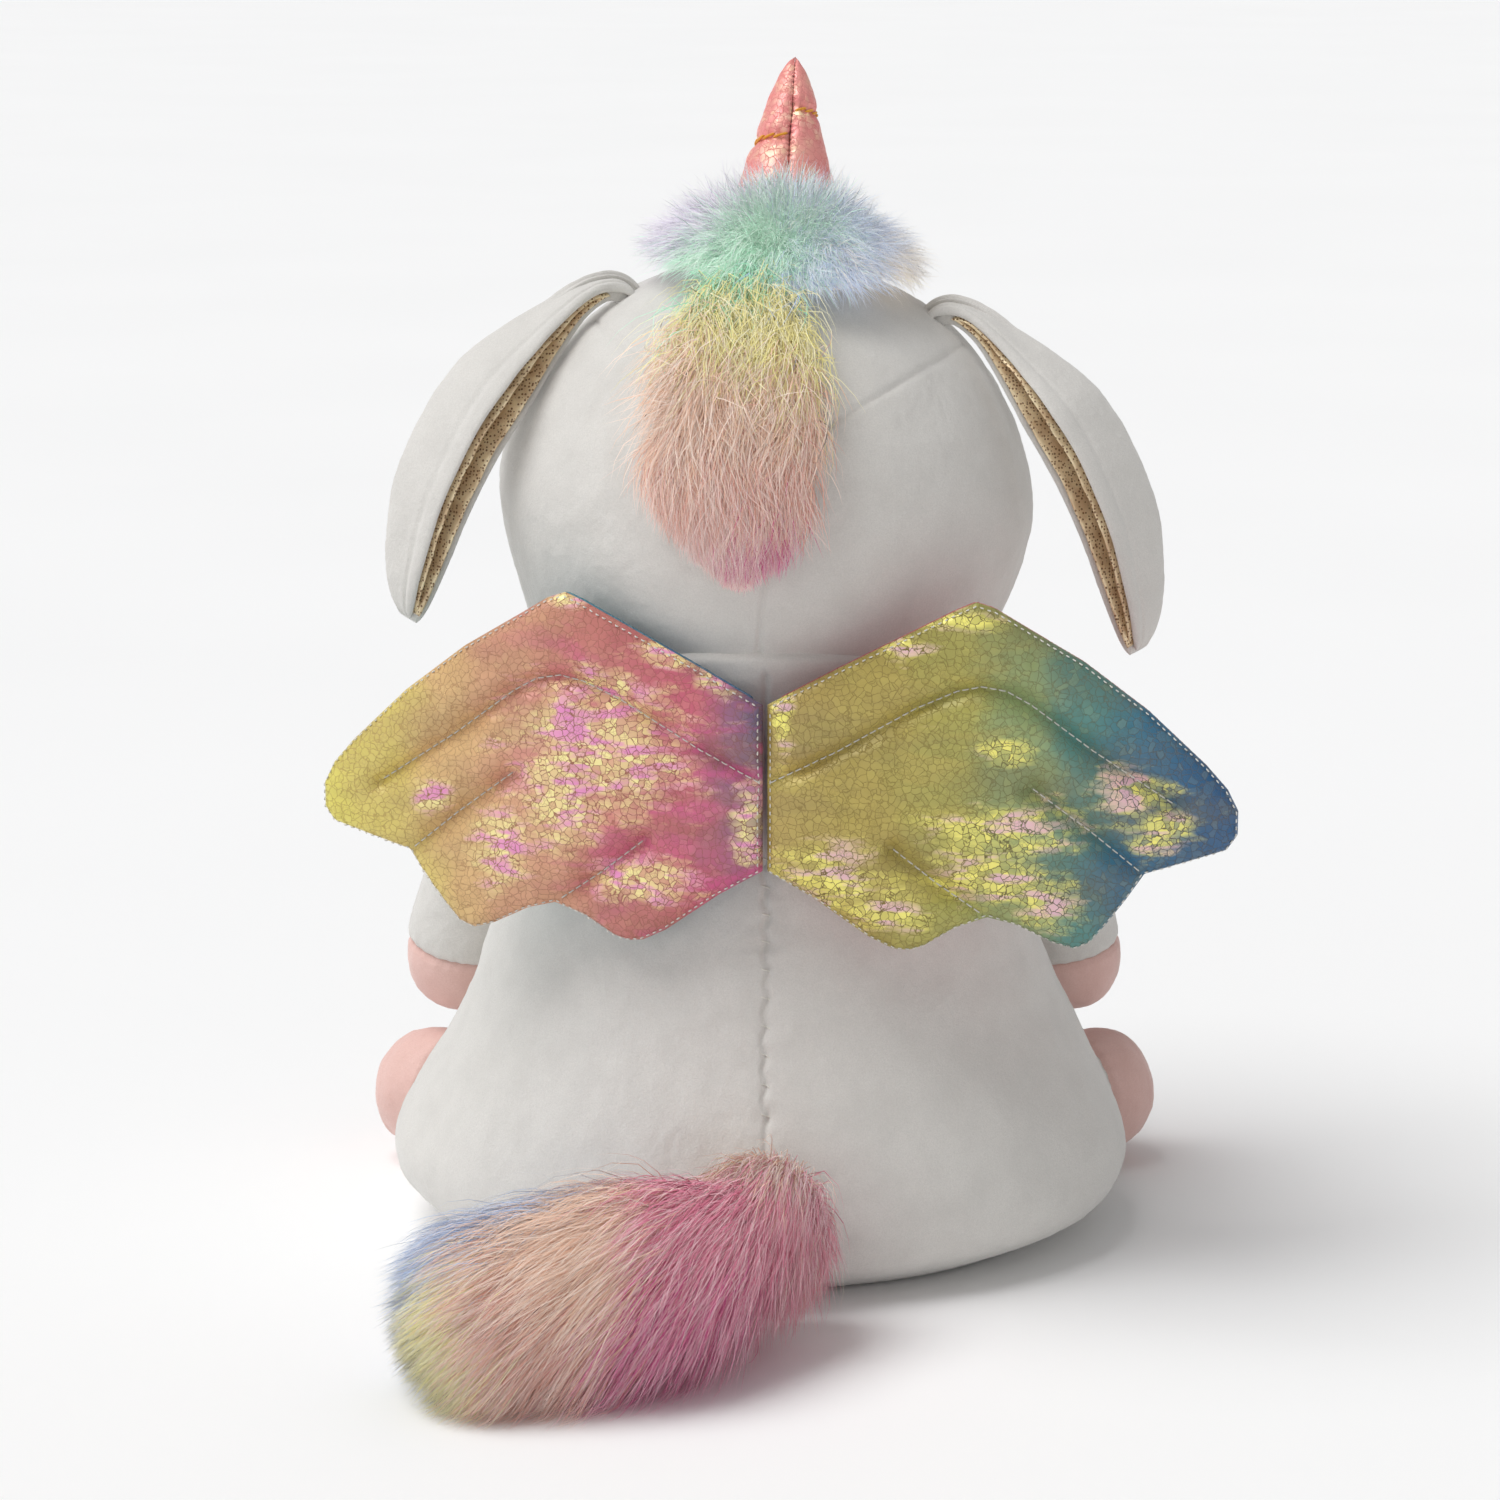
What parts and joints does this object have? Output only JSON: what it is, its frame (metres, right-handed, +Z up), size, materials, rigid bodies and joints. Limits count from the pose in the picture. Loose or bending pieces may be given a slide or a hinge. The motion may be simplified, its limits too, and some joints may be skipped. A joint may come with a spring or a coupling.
{
  "type": "plush unicorn",
  "caption": "Seated plush unicorn with folded hanging ears, horn, fur mane and tail, and two quilted wings; head, ears, wings, arms, legs and tail move on their seams.",
  "frame": {"origin": "middle of the seat, on the surface that the toy sits on", "axes": "+Z up; the toy looks along -Y; its own left side is +X"},
  "size_m": [0.3019, 0.3187, 0.3995],
  "materials": {
    "white_plush": "short pile off-white plush",
    "pink_plush": "short pile pale pink plush",
    "gold_lining": "pale gold foil-dotted fabric",
    "rose_foil": "rose iridescent crackle foil fabric",
    "teal_foil": "teal iridescent crackle foil fabric",
    "olive_foil": "olive-green iridescent crackle foil fabric",
    "red_foil": "red-pink iridescent crackle foil fabric",
    "horn_foil": "salmon-pink crackle foil fabric",
    "mane_fur": "long pile rainbow faux fur",
    "tail_fur": "long pile rainbow faux fur",
    "white_thread": "white polyester sewing thread",
    "gold_thread": "golden sewing thread",
    "embroidery": "pink satin-stitch embroidery",
    "stuffing": "loose polyester fibre filling",
    "batting": "flat polyester wadding",
    "pouch_cloth": "thin plain woven cloth",
    "pellets": "small plastic pellets",
    "eye_plastic": "polished black plastic",
    "washer_plastic": "moulded white plastic"
  },
  "bodies": {
    "torso": {"body_back_left": "white_plush", "body_back_right": "white_plush", "body_front": "white_plush", "base_panel": "white_plush", "body_stuffing": "stuffing", "pellet_pouch": "pouch_cloth", "pellet_fill": "pellets", "closing_thread": "white_thread"},
    "neck": {"neck_thread": "white_thread"},
    "head": {"head_back_left": "white_plush", "head_back_right": "white_plush", "face_panel": "white_plush", "muzzle_panel": "white_plush", "head_stuffing": "stuffing", "muzzle_stuffing": "stuffing", "eye_left": "eye_plastic", "eye_right": "eye_plastic", "eye_washers": "washer_plastic", "nostril_stitching": "embroidery", "mouth_stitching": "embroidery", "horn_left": "horn_foil", "horn_right": "horn_foil", "horn_stuffing": "stuffing", "horn_thread": "gold_thread", "mane_crest": "mane_fur", "mane_nape": "mane_fur"},
    "ear_left": {"ear_left_outer": "white_plush", "ear_left_lining": "gold_lining"},
    "ear_right": {"ear_right_outer": "white_plush", "ear_right_lining": "gold_lining"},
    "wing_left": {"wing_left_back": "rose_foil", "wing_left_front": "teal_foil", "wing_left_batting": "batting", "wing_left_stitching": "white_thread"},
    "wing_right": {"wing_right_back": "olive_foil", "wing_right_front": "red_foil", "wing_right_batting": "batting", "wing_right_stitching": "white_thread"},
    "arm_left": {"arm_left_sleeve": "white_plush", "arm_left_hoof": "pink_plush", "arm_left_stuffing": "stuffing"},
    "arm_right": {"arm_right_sleeve": "white_plush", "arm_right_hoof": "pink_plush", "arm_right_stuffing": "stuffing"},
    "leg_left": {"leg_left_sleeve": "white_plush", "leg_left_hoof": "pink_plush", "leg_left_sole": "pink_plush", "leg_left_stuffing": "stuffing"},
    "leg_right": {"leg_right_sleeve": "white_plush", "leg_right_hoof": "pink_plush", "leg_right_sole": "pink_plush", "leg_right_stuffing": "stuffing"},
    "tail": {"tail_cover": "tail_fur", "tail_stuffing": "stuffing"}
  },
  "joints": [
    {"name": "head_turn", "type": "hinge", "parent": "torso", "child": "neck", "pos_m": [0, 0, 0.249], "axis": [0, 0, 1], "range_deg": [-18, 18], "stiffness_Nm_per_rad": 0.5},
    {"name": "head_nod", "type": "hinge", "parent": "neck", "child": "head", "pos_m": [0, 0, 0.249], "axis": [1, 0, 0], "range_deg": [-9, 6], "stiffness_Nm_per_rad": 1.2},
    {"name": "ear_left_lift", "type": "hinge", "parent": "head", "child": "ear_left", "pos_m": [0.05239, 0.00723, 0.32952], "axis": [0.2588, -0.9659, 0], "range_deg": [0, 55], "stiffness_Nm_per_rad": 0.06},
    {"name": "ear_right_lift", "type": "hinge", "parent": "head", "child": "ear_right", "pos_m": [-0.06308, 0.00723, 0.32145], "axis": [0.2588, 0.9659, 0], "range_deg": [0, 55], "stiffness_Nm_per_rad": 0.06},
    {"name": "wing_left_flap", "type": "hinge", "parent": "torso", "child": "wing_left", "pos_m": [0.0015, 0.093, 0.175], "axis": [0, 0, 1], "range_deg": [0, 50], "stiffness_Nm_per_rad": 0.1},
    {"name": "wing_right_flap", "type": "hinge", "parent": "torso", "child": "wing_right", "pos_m": [-0.0015, 0.093, 0.175], "axis": [0, 0, -1], "range_deg": [-5, 33], "stiffness_Nm_per_rad": 0.1},
    {"name": "arm_left_swing", "type": "hinge", "parent": "torso", "child": "arm_left", "pos_m": [0.0711, -0.04979, 0.16], "axis": [-0.7982, 0.5589, -0.2249], "range_deg": [-12, 70], "stiffness_Nm_per_rad": 0.15},
    {"name": "arm_right_swing", "type": "hinge", "parent": "torso", "child": "arm_right", "pos_m": [-0.0711, -0.04979, 0.16], "axis": [-0.7982, -0.5589, 0.2249], "range_deg": [-12, 70], "stiffness_Nm_per_rad": 0.15},
    {"name": "leg_left_swing", "type": "hinge", "parent": "torso", "child": "leg_left", "pos_m": [0.104, -0.052, 0.0248], "axis": [0, 0, -1], "range_deg": [-10, 15], "stiffness_Nm_per_rad": 0.15},
    {"name": "leg_right_swing", "type": "hinge", "parent": "torso", "child": "leg_right", "pos_m": [-0.104, -0.052, 0.0248], "axis": [0, 0, 1], "range_deg": [-10, 15], "stiffness_Nm_per_rad": 0.15},
    {"name": "tail_swing", "type": "hinge", "parent": "torso", "child": "tail", "pos_m": [0, 0.1274, 0.04], "axis": [0, 0, 1], "range_deg": [-4, 110], "stiffness_Nm_per_rad": 0.05}
  ]
}
